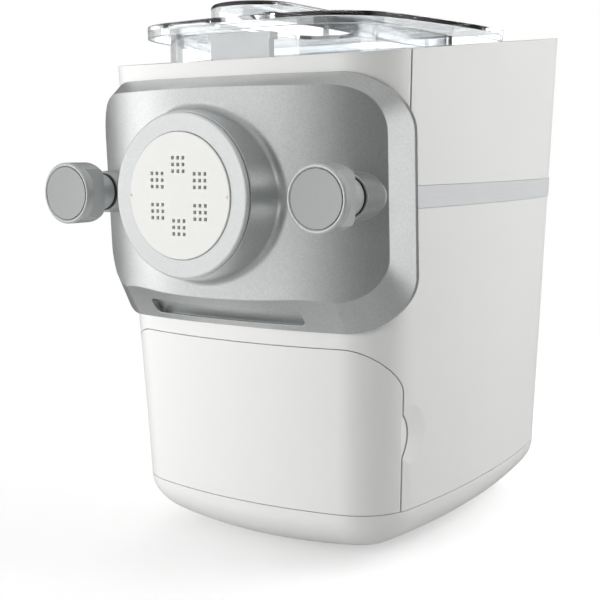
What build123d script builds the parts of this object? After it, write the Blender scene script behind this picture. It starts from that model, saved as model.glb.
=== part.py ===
from build123d import *
import os
from math import acos, cos, pi, radians, sin, sqrt, tan

os.makedirs("parts", exist_ok=True)

# ---------------------------------------------------------------- driving sizes (mm)
# Depths are counted backward from the face of the shaping disc, heights from the floor.
face_y = -155.3
axis_z = 212.0
foot_z = 2.0

# housing: bowed plan that widens upward while the front leans forward
base_seam_z = 33.0
rim_front_z = 284.4
rim_front_depth = 37.0
rim_slope = 0.106
rim_high = 330.0
deck_low = 200.0
half_low, half_high = 99.4, 107.9
front_low, front_high = 51.3, 37.0
rear_low, rear_high = 304.4, 310.0
side_bow = 11.2
front_bow = 14.8
rear_bow = 2.0
front_corner = 38.8
rear_corner = 41.0
least_corner = 4.0
wall = 2.8
seam_inset_low, seam_inset_high = 9.8, 8.7
fit_gap = 0.4
overlap = 1.0
base_round_in, base_round_end = 50.0, 79.0
foot_radius = 9.0
beyond = 150.0

# front panel: convex face with a wide bevel down to the housing
face_radius, face_apex = 158.6, 19.0
edge_apex, edge_sweep = 39.5, 30.3
face_half, face_top, face_bottom, face_corner = 97.0, 56.8, 56.3, 24.7
edge_half, edge_top, edge_bottom, edge_corner = 103.4, 63.8, 74.2, 30.8
panel_lean = 0.047
panel_wall = 3.0

# nozzle, ring and disc
disc_radius = 33.6
disc_flange = 36.0
ring_radius = 43.9
ring_face, ring_depth = 0.8, 2.4
ring_gap = 0.4
nozzle_front, nozzle_root = 44.6, 48.0
hole_circle, hole_pitch, hole_size = 16.5, 3.5, 1.85
tube_bore, tube_wall = 23.6, 3.0
auger_radius, auger_core, auger_pitch = 22.8, 9.0, 17.0

# clamp knobs
knob_x = 83.8
knob_radius = 17.3
knob_front, knob_back = 2.1, 22.4
knob_flat = 10.6
neck_radius, neck_end = 10.4, 31.6
boss_radius, boss_root, boss_front = 12.1, 12.3, 32.6
rod_radius, rod_end = 5.0, 82.0

# mixing chamber and lid
tub_half, tub_wall = 71.0, 3.0
tub_front, tub_rear = 54.0, 186.7
tub_corner = 9.0
neck_half, neck_corner = 68.0, 38.0
plug_radius, plug_top = 61.5, 57.0
lid_under, lid_top = 89.8, 96.5
lid_front, lid_rear = 46.0, 201.0
lid_half = 76.0
lid_skin = 2.4
paddle_reach = 61.0

# drawer
drawer_top_z = 128.0
door_corner = 25.0
bay_half, bay_wall = 81.0, 2.5
bay_floor_z, bay_roof_z = base_seam_z + fit_gap, 133.0
tray_half, tray_rear = 76.0, 180.0

# drive train: every depth follows from the one in front of it
motor_drop, idler_drop = 105.0, 60.0
teeth_small, teeth_large = 12, 48
module_out = idler_drop * 2 / (teeth_small + teeth_large)
module_in = (motor_drop - idler_drop) * 2 / (teeth_small + teeth_large)
plate_gap = 0.3
bulkhead_front = tub_rear + plate_gap
bulkhead_rear = bulkhead_front + 4.0
case_front = bulkhead_rear + plate_gap
case_wall, case_cover_gap = 3.0, 0.2
shaft_radius = 8.0
bearing_gap = 0.06
bush_outer, bush_flange, bush_flange_thick = 15.0, 18.0, 2.0
gear_width, in_gear_width, gear_step = 12.0, 8.0, 4.0
out_gear_depth = case_front + case_wall + bush_flange_thick + 2.7
in_gear_depth = out_gear_depth + gear_width + gear_step
case_rear = in_gear_depth + in_gear_width + 3.0
motor_radius, motor_length = 33.0, 58.0
motor_front = case_rear + 6.0
motor_rear = motor_front + motor_length


# ---------------------------------------------------------------- helpers
def front_plane(depth, x=0.0, rise=0.0):
    """Upright plane that faces forward, centred on the nozzle axis."""
    return Plane(origin=(x, face_y + depth, axis_z + rise), x_dir=(1, 0, 0), z_dir=(0, -1, 0))


def turn(profile, x=0.0, rise=0.0, mode=Mode.ADD):
    """Revolve (depth, radius) corners round a fore-and-aft axis."""
    plane = Plane(origin=(x, face_y, axis_z + rise), x_dir=(0, 1, 0), z_dir=(1, 0, 0))
    with BuildSketch(plane) as section:
        with BuildLine():
            Polyline(*profile, close=True)
        make_face()
    revolve(section.sketch, axis=Axis(plane.origin, plane.x_dir), mode=mode)


def rod_shape(start, end, radius):
    """Corners that turn into a solid round bar between two depths."""
    return [(start, 0), (start, radius), (end, radius), (end, 0)]


def tube_shape(start, end, inner, outer):
    """Corners that turn into a round tube between two depths."""
    return [(start, inner), (start, outer), (end, outer), (end, inner)]


def box(x0, x1, d0, d1, z0, z1, mode=Mode.ADD):
    """Square block between two x values, two depths and two heights."""
    with BuildSketch(Plane.XY.offset(z0)) as footprint:
        with Locations(((x0 + x1) / 2, face_y + (d0 + d1) / 2)):
            Rectangle(x1 - x0, d1 - d0)
    extrude(footprint.sketch, amount=z1 - z0, mode=mode)


def rise_share(height):
    return (height - base_seam_z) / (rim_front_z - base_seam_z)


def half_at(height):
    return half_low + (half_high - half_low) * rise_share(height)


def front_at(height):
    return front_low + (front_high - front_low) * rise_share(height)


def rear_at(height):
    return rear_low + (rear_high - rear_low) * rise_share(height)


def housing_plan(height, inset=0.0, level=None):
    """Bowed plan outline at a height, drawn at another level if one is given."""
    half = half_at(height) - inset
    front = face_y + front_at(height) + inset
    rear = face_y + rear_at(height) - inset
    end_half = half - side_bow
    front_end, middle, rear_end = front + front_bow, (front + rear) / 2, rear - rear_bow
    with BuildSketch(Plane.XY.offset(height if level is None else level)) as plan:
        with BuildLine():
            ThreePointArc((-end_half, front_end), (0, front), (end_half, front_end))
            ThreePointArc((end_half, front_end), (half, middle), (end_half, rear_end))
            ThreePointArc((end_half, rear_end), (0, rear), (-end_half, rear_end))
            ThreePointArc((-end_half, rear_end), (-half, middle), (-end_half, front_end))
        make_face()
        corners = plan.vertices().sort_by(Axis.Y)
        fillet(corners[:2], radius=max(front_corner - inset, least_corner))
        corners = plan.vertices().sort_by(Axis.Y)
        fillet(corners[-2:], radius=max(rear_corner - inset, least_corner))
    return plan.sketch.face()


def housing_block(low, high, inset=0.0, mode=Mode.ADD):
    """Solid between two heights of the leaning housing."""
    loft([housing_plan(low, inset), housing_plan(high, inset)], ruled=True, mode=mode)


def rim_plane(drop=0.0):
    """Plane of the sloping top rim, lowered by a drop."""
    tilt = Vector(0, -rim_slope, 1).normalized()
    origin = Vector(0, face_y + rim_front_depth, rim_front_z) - tilt * drop
    return Plane(origin=origin, x_dir=(1, 0, 0), z_dir=tilt)


def seam_half_at(height):
    """Half of the distance between the two corner seams, which follow the taper."""
    return half_at(height) - seam_inset_low + (seam_inset_low - seam_inset_high) * rise_share(height)


def seam_outline(z0, z1, grow=0.0, corner=0.0):
    """Front view outline between the two corner seams."""
    low_half, high_half = seam_half_at(z0) + grow, seam_half_at(z1) + grow
    low, high = z0 - axis_z - grow, z1 - axis_z + grow
    with BuildSketch(front_plane(0.0)) as outline:
        with BuildLine():
            Polyline((-low_half, low), (low_half, low), (high_half, high), (-high_half, high), close=True)
        make_face()
        if corner:
            fillet(outline.vertices().sort_by(Axis.Y)[-2:], radius=corner)
    return outline.sketch


# ---------------------------------------------------------------- housing shells
fascia_low_z = 152.0
zone_depth = 120.0
band_low_z, band_high_z = 204.4, 216.5
band_proud, band_sunk, band_seat, band_end_gap = 0.5, 1.2, 0.1, 1.0
dish_x, dish_depth, dish_z = 94.0, 88.0, 74.0
dish_turn, dish_out, dish_sink = radians(12.0), 85.0, 1.7
vent_count, vent_pitch, vent_width, vent_height, vent_z = 9, 9.0, 3.2, 34.0, 116.0
gland_x, gland_z, gland_hole = -52.0, 60.0, 9.0
window_radius, window_top = 68.5, 61.0
socket_outer, socket_front, socket_rear = 8.0, 72.0, 90.0
socket_boss_radius, socket_boss_rear = 10.5, 84.0
socket_seat = 0.05
rod_hole_gap = 0.6


def rear_plane(x, z):
    """Upright plane across the rear wall."""
    return front_plane(rear_at(z), x, z - axis_z)


def shell(low, high, mode=Mode.ADD):
    """Housing skin of even wall thickness, cut at the sloping rim."""
    housing_block(low, high)
    housing_block(low - overlap, high + overlap, wall, mode=Mode.SUBTRACT)
    split(bisect_by=rim_plane(), keep=Keep.BOTTOM)


def u_face(depth, radius, top):
    """U outline round the nozzle axis, flat at the top."""
    with BuildSketch(front_plane(depth)) as outline:
        Circle(radius)
        with Locations((0, top / 2)):
            Rectangle(2 * radius, top)
        with Locations((0, top + radius)):
            Rectangle(3 * radius, 2 * radius, mode=Mode.SUBTRACT)
    return outline.sketch


with BuildPart() as side_wrap:
    shell(base_seam_z + fit_gap, rim_high)
    door_zone = seam_outline(base_seam_z - 5, drawer_top_z, fit_gap, door_corner)
    extrude(door_zone, amount=-zone_depth, mode=Mode.SUBTRACT)
    extrude(seam_outline(fascia_low_z, rim_high, fit_gap), amount=-zone_depth, mode=Mode.SUBTRACT)
    extrude(u_face(0, window_radius, window_top), amount=-zone_depth, mode=Mode.SUBTRACT)
    with BuildPart(mode=Mode.PRIVATE) as groove:
        housing_block(band_low_z - band_seat, band_high_z + band_seat, -overlap)
        housing_block(band_low_z - overlap, band_high_z + overlap, band_sunk + band_seat,
                      mode=Mode.SUBTRACT)
    add(groove.part, mode=Mode.SUBTRACT)
    for side in (-1, 1):
        outward = Vector(side * cos(dish_turn), -sin(dish_turn), 0)
        centre = Vector(side * dish_x, face_y + dish_depth, dish_z) + outward * dish_out
        reach = side_wrap.part.distance_to(Vertex(*centre)) + dish_sink
        with Locations(centre):
            Sphere(reach, mode=Mode.SUBTRACT)
    with BuildSketch(rear_plane(0, vent_z)) as vents:
        with GridLocations(vent_pitch, 1, vent_count, 1):
            SlotOverall(vent_height, vent_width, rotation=90)
    extrude(vents.sketch, amount=4 * wall, both=True, mode=Mode.SUBTRACT)
    with BuildSketch(rear_plane(gland_x, gland_z)) as gland:
        Circle(gland_hole)
    extrude(gland.sketch, amount=4 * wall, both=True, mode=Mode.SUBTRACT)
side_wrap.part.label = "side_wrap"

with BuildPart() as front_fascia:
    shell(base_seam_z, rim_high)
    extrude(seam_outline(fascia_low_z, rim_high), amount=-zone_depth, mode=Mode.INTERSECT)
    extrude(u_face(0, window_radius, window_top), amount=-zone_depth, mode=Mode.SUBTRACT)
    with BuildPart(mode=Mode.PRIVATE) as bosses:
        for side in (-1, 1):
            turn(rod_shape(0, socket_boss_rear, socket_boss_radius), x=side * knob_x)
        housing_block(fascia_low_z, rim_high, wall / 2, mode=Mode.INTERSECT)
    add(bosses.part)
    for side in (-1, 1):
        turn(rod_shape(0, socket_rear, rod_radius + rod_hole_gap), x=side * knob_x, mode=Mode.SUBTRACT)
        turn(rod_shape(socket_front - 2 * socket_seat, socket_rear, socket_outer + socket_seat),
             x=side * knob_x, mode=Mode.SUBTRACT)
front_fascia.part.label = "front_fascia"

with BuildPart() as clamp_sockets:
    for side in (-1, 1):
        turn(tube_shape(socket_front, socket_rear, rod_radius + fit_gap, socket_outer), x=side * knob_x)
clamp_sockets.part.label = "clamp_sockets"

with BuildPart() as band_trim:
    housing_block(band_low_z, band_high_z, -band_proud)
    housing_block(band_low_z - overlap, band_high_z + overlap, band_sunk, mode=Mode.SUBTRACT)
    extrude(seam_outline(fascia_low_z, rim_high, band_end_gap), amount=-zone_depth, mode=Mode.SUBTRACT)
band_trim.part.label = "band_trim"

# ---------------------------------------------------------------- base tray and feet
foot_places = [(-36, 112), (36, 112), (-36, 240), (36, 240)]
frame_post_places = [(-42, 130), (42, 130), (-42, 168), (42, 168)]
board_post_places = [(-44, 206), (44, 206), (-44, 250), (44, 250)]
post_radius, board_post_radius = 5.0, 4.0
screw_radius, head_grow, head_high = 1.6, 1.5, 1.6
head_room, screw_room = 1.8, 0.3
board_z = 44.0
pad_recess, pad_crush, pad_gap = 1.0, 0.2, 0.1
board_screw_long, board_thick = 7.0, 1.6
post_gap, seat_gap = 0.3, 0.1
base_head_z = foot_z + 1.6
slot_count, slot_pitch, slot_long, slot_wide, slot_depth = 7, 8.0, 26.0, 3.0, 225.0


def base_block(inset, floor_z, mode=Mode.ADD):
    """Tray with an elliptical turn-in from the seam down to the flat floor."""
    steps = 6
    sections = []
    for step in range(steps):
        angle = radians(base_round_end * step / (steps - 1))
        level = base_seam_z - (base_seam_z - floor_z) * sin(angle) / sin(radians(base_round_end))
        sections.append(housing_plan(base_seam_z, inset + base_round_in * (1 - cos(angle)), level))
    loft(sections, mode=mode)


def posts(places, radius, z0, z1, mode=Mode.ADD):
    """Round posts at (x, depth) places between two heights."""
    with BuildSketch(Plane.XY.offset(z0)) as spots:
        with Locations([(x, face_y + depth) for x, depth in places]):
            Circle(radius)
    extrude(spots.sketch, amount=z1 - z0, mode=mode)


with BuildPart() as base_pan:
    base_block(0.0, foot_z)
    base_block(wall, foot_z + wall, mode=Mode.SUBTRACT)
    posts(frame_post_places, post_radius, foot_z + wall / 2, bay_floor_z - post_gap)
    posts(board_post_places, board_post_radius, foot_z + wall / 2, board_z - seat_gap)
    posts(foot_places, foot_radius + pad_gap, 0, foot_z + pad_recess, mode=Mode.SUBTRACT)
    posts(frame_post_places, screw_radius + screw_room, 0, bay_floor_z, mode=Mode.SUBTRACT)
    posts(frame_post_places, screw_radius + head_room, 0, foot_z + wall, mode=Mode.SUBTRACT)
    posts(board_post_places, screw_radius, board_z - board_screw_long - overlap, board_z,
          mode=Mode.SUBTRACT)
    with BuildSketch(Plane.XY) as slots:
        with Locations((0, face_y + slot_depth)):
            with GridLocations(slot_pitch, 1, slot_count, 1):
                SlotOverall(slot_long, slot_wide, rotation=90)
    extrude(slots.sketch, amount=foot_z + 2 * wall, mode=Mode.SUBTRACT)
base_pan.part.label = "base_pan"

with BuildPart() as foot_pads:
    posts(foot_places, foot_radius, 0, foot_z + pad_recess - pad_crush)
foot_pads.part.label = "foot_pads"

with BuildPart() as base_screws:
    posts(frame_post_places, screw_radius, base_head_z, bay_floor_z + bay_wall - seat_gap)
    posts(frame_post_places, screw_radius + head_grow, base_head_z, foot_z + wall - seat_gap)
base_screws.part.label = "base_screws"

# ---------------------------------------------------------------- drawer bay and bulkhead
cradle_depths = (78.0, 166.0)
cradle_half, cradle_width, cradle_high = 46.0, 7.0, 34.0
rib_x, rib_half, rib_high = 40.0, 3.0, 6.0
bay_front = 40.0
bay_rear = bulkhead_front - post_gap
bay_clear = 1.5

with BuildPart() as bay_frame:
    box(-bay_half - bay_wall, bay_half + bay_wall, bay_front, bay_rear, bay_floor_z, bay_roof_z)
    box(-bay_half, bay_half, bay_front - overlap, bay_rear - bay_wall, bay_floor_z + bay_wall,
        bay_roof_z - bay_wall, mode=Mode.SUBTRACT)
    housing_block(base_seam_z, bay_roof_z + overlap, wall + bay_clear, mode=Mode.INTERSECT)
    ledge = bay_roof_z - overlap
    for depth in cradle_depths:
        box(-cradle_half, cradle_half, depth, depth + cradle_width, ledge, bay_roof_z + cradle_high)
    for side in (-1, 1):
        box(side * rib_x - rib_half, side * rib_x + rib_half, cradle_depths[0] + overlap,
            cradle_depths[1] + overlap, ledge, bay_roof_z + rib_high)
    turn(rod_shape(bay_front, bulkhead_rear, tub_half + post_gap), mode=Mode.SUBTRACT)
    posts(frame_post_places, screw_radius, bay_floor_z - overlap, bay_floor_z + bay_wall + overlap,
          mode=Mode.SUBTRACT)
bay_frame.part.label = "bay_frame"

bulkhead_gap, bulkhead_drop = 0.5, 8.0
wire_port_x, wire_port_half, wire_port_low, wire_port_high = 78.0, 12.0, 60.0, 110.0

with BuildPart() as bulkhead:
    housing_block(base_seam_z + fit_gap, rim_high, wall + bulkhead_gap)
    box(-beyond, beyond, bulkhead_front, bulkhead_rear, base_seam_z, rim_high, mode=Mode.INTERSECT)
    split(bisect_by=rim_plane(bulkhead_drop), keep=Keep.BOTTOM)
    turn(rod_shape(bulkhead_front - overlap, bulkhead_rear + overlap, bush_outer + seat_gap),
         mode=Mode.SUBTRACT)
    for side in (-1, 1):
        wires = side * wire_port_x
        box(wires - wire_port_half, wires + wire_port_half, bulkhead_front - overlap,
            bulkhead_rear + overlap, wire_port_low, wire_port_high, mode=Mode.SUBTRACT)
bulkhead.part.label = "bulkhead"

# ---------------------------------------------------------------- top deck and control panel
deck_drop, panel_drop, plate_thick = 4.0, 1.6, 2.5
hand_half = 60.0
panel_front = 205.5
window_wide, window_deep, window_depth, window_corner = 66.0, 24.0, 236.0, 3.0
window_thick, window_sunk, window_gap = 2.0, 0.2, 0.2
key_depth = 276.0
key_radius, start_radius = 6.5, 9.0
key_proud, key_flange, key_flange_thick, key_stem, key_edge = 1.4, 1.3, 1.4, 1.8, 0.6
key_places = {"button_power": -48.0, "button_less": -17.0, "button_more": 14.0, "button_start": 47.0}
key_gap, key_travel = 0.35, 1.2
board_drop, board_wide, board_deep, board_depth = 13.0, 150.0, 76.0, 256.0
stud_x, stud_reach, stud_radius = 70.0, 32.0, 3.0
switch_size, switch_high = 6.0, 3.0


def deck_spot(depth, x=0.0, drop=0.0):
    """Plane parallel to the sloping rim at one place, lowered by a drop."""
    base = rim_plane()
    origin = Vector(x, face_y + depth, rim_front_z + rim_slope * (depth - rim_front_depth))
    return Plane(origin=origin - base.z_dir * drop, x_dir=base.x_dir, z_dir=base.z_dir)


def deck_slab(drop, thick, inset):
    """Plate that fills the housing just below the rim."""
    housing_block(base_seam_z, rim_high, inset)
    split(bisect_by=rim_plane(drop), keep=Keep.BOTTOM)
    split(bisect_by=rim_plane(drop + thick), keep=Keep.TOP)


def neck_plan(level, inset=0.0):
    """Plan outline of the chamber's neck: broadly rounded in front, nearly square behind."""
    front, rear = face_y + tub_front + inset, face_y + tub_rear - inset
    with BuildSketch(Plane.XY.offset(axis_z + level)) as plan:
        with Locations((0, (front + rear) / 2)):
            Rectangle(2 * (neck_half - inset), rear - front)
        fillet(plan.vertices().sort_by(Axis.Y)[:2], radius=neck_corner - inset)
    return plan.sketch


with BuildPart() as top_deck:
    deck_slab(deck_drop, plate_thick, wall + plate_gap)
    box(-beyond, beyond, panel_front - 0.5, rear_high, deck_low, rim_high, mode=Mode.SUBTRACT)
    extrude(neck_plan(tub_wall, -fit_gap), amount=beyond, mode=Mode.SUBTRACT)
    box(-hand_half, hand_half, tub_rear + 2 * fit_gap, bulkhead_rear + overlap, deck_low, rim_high,
        mode=Mode.SUBTRACT)
top_deck.part.label = "top_deck"

with BuildPart() as control_panel:
    deck_slab(panel_drop, plate_thick, wall + plate_gap)
    box(-beyond, beyond, 0, panel_front, deck_low, rim_high, mode=Mode.SUBTRACT)
    with BuildSketch(deck_spot(window_depth, 0, panel_drop)) as window:
        RectangleRounded(window_wide + 2 * window_gap, window_deep + 2 * window_gap, window_corner)
    extrude(window.sketch, amount=-2 * plate_thick, mode=Mode.SUBTRACT)
    for name, x in key_places.items():
        radius = start_radius if name == "button_start" else key_radius
        with BuildSketch(deck_spot(key_depth, x, panel_drop)) as key_hole:
            Circle(radius + key_gap)
        extrude(key_hole.sketch, amount=2 * plate_thick, both=True, mode=Mode.SUBTRACT)
    for x in (-stud_x, stud_x):
        for depth in (board_depth - stud_reach, board_depth + stud_reach):
            with BuildSketch(deck_spot(depth, x, panel_drop + overlap)) as stud:
                Circle(stud_radius)
            extrude(stud.sketch, amount=-(board_drop - seat_gap - panel_drop - overlap))
control_panel.part.label = "control_panel"

with BuildPart() as display_window:
    with BuildSketch(deck_spot(window_depth, 0, panel_drop + window_sunk)) as glass:
        RectangleRounded(window_wide, window_deep, window_corner)
    extrude(glass.sketch, amount=-window_thick)
display_window.part.label = "display_window"

with BuildPart() as control_board:
    with BuildSketch(deck_spot(board_depth, 0, board_drop)) as board:
        RectangleRounded(board_wide, board_deep, window_corner)
    extrude(board.sketch, amount=-board_thick)
    with BuildSketch(deck_spot(window_depth, 0, board_drop)) as screen:
        Rectangle(window_wide - 4, window_deep - 2)
    extrude(screen.sketch, amount=board_drop - panel_drop - window_sunk - window_thick - fit_gap)
    for x in key_places.values():
        with BuildSketch(deck_spot(key_depth, x, board_drop)) as switch:
            Rectangle(switch_size, switch_size)
        extrude(switch.sketch, amount=switch_high)
control_board.part.label = "control_board"

keys = {}
for key_name, key_x in key_places.items():
    cap_radius = start_radius if key_name == "button_start" else key_radius
    with BuildPart() as key:
        with BuildSketch(deck_spot(key_depth, key_x, panel_drop - key_proud)) as cap:
            Circle(cap_radius)
        extrude(cap.sketch, amount=-(key_proud + plate_thick + plate_gap + key_flange_thick))
        flange_drop = panel_drop + plate_thick + plate_gap
        with BuildSketch(deck_spot(key_depth, key_x, flange_drop)) as flange:
            Circle(cap_radius + key_flange)
        extrude(flange.sketch, amount=-key_flange_thick)
        with BuildSketch(deck_spot(key_depth, key_x, flange_drop)) as stem:
            Circle(key_stem)
        extrude(stem.sketch, amount=-(board_drop - switch_high - key_travel - fit_gap - flange_drop))
        fillet(key.faces().sort_by(Axis.Z)[-1].edges(), radius=key_edge)
    key.part.label = key_name
    keys[key_name] = key.part

# ---------------------------------------------------------------- mixing chamber
bracket_half, bracket_low, bracket_high = 21.0, 66.5, 88.5
bracket_deep, bracket_top_high, bracket_web = 7.0, 4.0, 2.0
leg_inset, leg_half, leg_deep = 3.0, 2.0, 5.0
plug_gap = 0.8
shoulder = window_top + 2.0
seal_outer, seal_lip, seal_thick = 12.0, 14.0, 0.9

with BuildPart() as mixing_tub:
    tub_top = lid_top - lid_skin - plate_gap
    extrude(u_face(tub_front, tub_half, shoulder), amount=-(tub_rear - tub_front))
    uprights = mixing_tub.edges().filter_by(Axis.Z).sort_by(Axis.Y)
    fillet(uprights[:2], radius=tub_corner)
    extrude(neck_plan(shoulder - tub_wall / 2), amount=tub_top - shoulder + tub_wall / 2)
    inner_length = tub_rear - tub_front - 2 * tub_wall
    extrude(u_face(tub_front + tub_wall, tub_half - tub_wall, shoulder - tub_wall), amount=-inner_length,
            mode=Mode.SUBTRACT)
    extrude(neck_plan(shoulder - 2 * tub_wall, tub_wall), amount=tub_top, mode=Mode.SUBTRACT)
    extrude(u_face(tub_front - overlap, plug_radius + plug_gap, plug_top + plug_gap),
            amount=-(tub_wall + 2 * overlap), mode=Mode.SUBTRACT)
    turn(rod_shape(tub_rear - 2 * tub_wall, tub_rear + overlap, seal_outer + socket_seat),
         mode=Mode.SUBTRACT)
mixing_tub.part.label = "mixing_tub"

with BuildPart() as latch_bracket:
    front_in = tub_front + tub_wall + pad_crush
    bracket_top = axis_z + bracket_high
    leg_x = bracket_half - leg_inset
    box(-bracket_half, bracket_half, front_in, front_in + bracket_deep, bracket_top - bracket_top_high,
        bracket_top)
    for side in (-1, 1):
        box(side * leg_x - leg_half, side * leg_x + leg_half, front_in, front_in + leg_deep,
            axis_z + bracket_low, bracket_top)
    box(-leg_x, leg_x, front_in, front_in + bracket_web, axis_z + bracket_low, bracket_top)
latch_bracket.part.label = "latch_bracket"

with BuildPart() as shaft_seal:
    lip_rear = tub_rear - tub_wall - seat_gap
    turn(tube_shape(lip_rear - seal_thick, lip_rear, shaft_radius + seat_gap, seal_lip))
    turn(tube_shape(lip_rear - seal_thick, tub_rear, shaft_radius + seat_gap, seal_outer))
shaft_seal.part.label = "shaft_seal"

# ---------------------------------------------------------------- lid
lid_bow, lid_flare, lid_end_flare, lid_flare_depth = 11.0, 17.5, 22.0, 60.0
lid_corner, lid_rear_corner = 41.0, 7.0
ridge_half, ridge_front, ridge_rear, ridge_top, ridge_edge = 26.0, 47.0, 168.0, 105.0, 2.5
pour_long, pour_wide, pour_depth = 70.0, 9.0, 118.0
rim_inset, rim_front, rim_thick, rim_drop = 4.0, 12.0, 2.0, 5.0


def lid_plan(level, inset=0.0):
    """Bowed outline of the lid, concentric with the housing rim."""
    half = lid_half - inset
    front, rear = face_y + lid_front + inset, face_y + lid_rear - inset
    with BuildSketch(Plane.XY.offset(axis_z + level)) as plan:
        with BuildLine():
            mid, wide, mid_rear = half + lid_flare, half + lid_end_flare, rear - lid_flare_depth
            ThreePointArc((-half, front + lid_bow), (0, front), (half, front + lid_bow))
            ThreePointArc((half, front + lid_bow), (mid, mid_rear), (wide, rear))
            Line((wide, rear), (-wide, rear))
            ThreePointArc((-wide, rear), (-mid, mid_rear), (-half, front + lid_bow))
        make_face()
        fillet(plan.vertices().sort_by(Axis.Y)[:2], radius=lid_corner - inset)
        fillet(plan.vertices().sort_by(Axis.Y)[-2:], radius=lid_rear_corner - inset)
    return plan.sketch


def ridge_plan(level, inset=0.0):
    """Long rounded outline of the raised pouring ridge."""
    with BuildSketch(Plane.XY.offset(axis_z + level)) as plan:
        with Locations((0, face_y + (ridge_front + ridge_rear) / 2)):
            SlotOverall(ridge_rear - ridge_front - 2 * inset, 2 * (ridge_half - inset), rotation=90)
    return plan.sketch


with BuildPart() as lid_cover:
    extrude(lid_plan(lid_under), amount=lid_top - lid_under)
    extrude(ridge_plan(lid_top - overlap), amount=ridge_top - lid_top + overlap)
    fillet(lid_cover.faces().sort_by(Axis.Z)[-1].edges(), radius=ridge_edge)
    extrude(lid_plan(lid_under, lid_skin), amount=lid_top - lid_under - lid_skin, mode=Mode.SUBTRACT)
    extrude(ridge_plan(lid_under, lid_skin), amount=ridge_top - lid_under - lid_skin, mode=Mode.SUBTRACT)
    with BuildSketch(Plane.XY.offset(axis_z + lid_top)) as pour:
        with Locations((0, face_y + pour_depth)):
            SlotOverall(pour_long, pour_wide, rotation=90)
    extrude(pour.sketch, amount=ridge_top, mode=Mode.SUBTRACT)
    with BuildPart(mode=Mode.PRIVATE) as locating_rim:
        rim_top = lid_top - lid_skin / 2
        extrude(neck_plan(lid_under - rim_drop, rim_inset), amount=rim_top - lid_under + rim_drop)
        extrude(neck_plan(lid_under - rim_drop - overlap, rim_inset + rim_thick), amount=beyond,
                mode=Mode.SUBTRACT)
        box(-beyond, beyond, 0, tub_front + rim_front, axis_z, rim_high, mode=Mode.SUBTRACT)
    add(locating_rim.part)
lid_cover.part.label = "lid_cover"

# ---------------------------------------------------------------- drawer
tray_low_z, tray_high_z, tray_wall = 38.5, 122.0, 2.0
tray_front, tray_cut_z = 40.0, 140.0
door_screw_places = [(-40, 56), (40, 56), (-40, 104), (40, 104)]
door_screw_long, door_head_radius, door_head_gap = 6.0, 3.2, 0.9
tray_gap = 0.3


def skin_depth(x, z):
    """Depth of the bowed front skin at a place away from its corners."""
    chord = half_at(z) - side_bow
    bow_radius = (chord**2 + front_bow**2) / (2 * front_bow)
    return front_at(z) + bow_radius - sqrt(bow_radius**2 - x**2)


def door_screw(x, z, radius, mode=Mode.ADD):
    """Shank from half way through the door skin back into the tray."""
    start = skin_depth(x, z) + wall / 2
    turn(rod_shape(start, start + door_screw_long, radius), x=x, rise=z - axis_z, mode=mode)


with BuildPart() as drawer_tray:
    box(-tray_half, tray_half, tray_front, tray_rear, tray_low_z, tray_high_z)
    housing_block(base_seam_z, tray_cut_z, wall + tray_gap, mode=Mode.INTERSECT)
    with BuildPart(mode=Mode.PRIVATE) as hollow:
        box(-tray_half + tray_wall, tray_half - tray_wall, tray_front, tray_rear - tray_wall,
            tray_low_z + tray_wall, tray_cut_z)
        housing_block(base_seam_z, tray_cut_z, wall + tray_gap + tray_wall, mode=Mode.INTERSECT)
    add(hollow.part, mode=Mode.SUBTRACT)
    for x, z in door_screw_places:
        door_screw(x, z, screw_radius, mode=Mode.SUBTRACT)
drawer_tray.part.label = "drawer_tray"

with BuildPart() as drawer_front:
    shell(base_seam_z, rim_high)
    door_outline = seam_outline(base_seam_z + fit_gap, drawer_top_z, corner=door_corner)
    extrude(door_outline, amount=-zone_depth, mode=Mode.INTERSECT)
    for x, z in door_screw_places:
        door_screw(x, z, screw_radius, mode=Mode.SUBTRACT)
drawer_front.part.label = "drawer_front"

with BuildPart() as drawer_screws:
    for x, z in door_screw_places:
        door_screw(x, z, screw_radius)
        head = skin_depth(x, z) + wall + tray_gap + tray_wall + door_head_gap
        turn(rod_shape(head, head + head_high, door_head_radius), x=x, rise=z - axis_z)
drawer_screws.part.label = "drawer_screws"

# ---------------------------------------------------------------- front panel
slot_half, slot_low, slot_high, slot_corner, slot_sink = 52.0, -70.5, -61.5, 3.0, 4.5
cavity_margin, cavity_end = 2.5, 90.0
curve_reach, curve_back = 125.0, 130.0
bevel_near, bevel_far, panel_cut = 5.0, 92.0, 120.0
nozzle_lip = ring_face + ring_depth + ring_gap
nozzle_foot, nozzle_fillet, root_end = 27.0, 5.5, 60.0
boss_foot = 44.0
sleeve_outer, sleeve_front, sleeve_end = 30.5, 8.0, 47.0
nozzle_wall = 3.2
ring_plug = 40.0
recess_gap = 0.5
recess_end = 15.2
lug_radius, lug_front, lug_rear, lug_wide, lug_high = 42.0, 11.7, 14.5, 10.0, 3.0
plate_front, plate_rear, plug_rear = 50.2, 52.6, 59.0
plate_radius = 66.5
brace_places = [(-46, 34), (46, 34), (-46, -34), (46, -34)]
brace_radius, brace_front = 4.0, 30.0
tube_gap, tube_seat, tube_flange = 0.1, 0.2, 36.0
seal_thickness, seal_inset = 1.2, 0.5
plate_screw_front, plate_head_sunk = 36.0, 1.9


def face_y_at(x, rise):
    """Front surface of the convex panel, which leans forward at the top."""
    return face_y + face_apex + face_radius - sqrt(face_radius**2 - x**2) - panel_lean * rise


def edge_y_at(x, rise):
    """Back edge of the bevel, which follows the housing: nearly flat, then round its corners."""
    return face_y + edge_apex + edge_sweep * (x / edge_half) ** 4 - panel_lean * rise


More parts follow.
